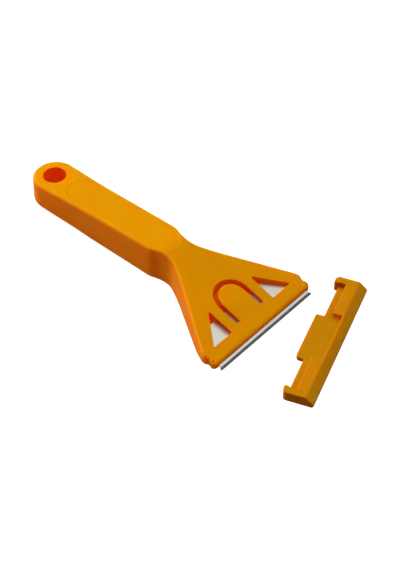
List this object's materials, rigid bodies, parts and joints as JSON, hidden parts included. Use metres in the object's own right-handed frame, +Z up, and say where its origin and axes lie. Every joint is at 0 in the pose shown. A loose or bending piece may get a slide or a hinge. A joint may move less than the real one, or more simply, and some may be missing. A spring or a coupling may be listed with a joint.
{
  "type": "algae scraper",
  "caption": "Hand scraper with a thick moulded handle, a flared head holding a steel blade under a spring tongue, and a loose clip-on blade guard.",
  "frame": {"origin": "middle of the whole outline, scraper and guard together, on the surface they lie on", "axes": "+X along the handle towards the blade, +Z up from the surface, +Y to the left of the handle"},
  "size_m": [0.1772, 0.0784, 0.0178],
  "materials": {
    "orange_plastic": "satin moulded",
    "tongue_plastic": "satin moulded",
    "blade_steel": "ground",
    "guard_plastic": "satin moulded"
  },
  "bodies": {
    "body": {"scraper_body": "orange_plastic"},
    "tongue": {"spring_tongue": "tongue_plastic"},
    "blade": {"blade": "blade_steel"},
    "guard": {"blade_guard": "guard_plastic"}
  },
  "joints": [
    {"name": "blade_slide", "type": "slide", "parent": "body", "child": "blade", "axis": [0.979, 0, -0.2036], "range_m": [0, 0.018]},
    {"name": "tongue_flex", "type": "hinge", "parent": "body", "child": "tongue", "pos_m": [0.03655, -0.00738, 0.00551], "axis": [0, 1, 0], "range_deg": [0, 7], "stiffness_Nm_per_rad": 0.05},
    {"name": "guard_swing", "type": "hinge", "parent": "body", "child": "guard", "pos_m": [0.03579, 0.0214, 0], "axis": [0, 0, -1], "range_deg": [0, 19.9]}
  ]
}
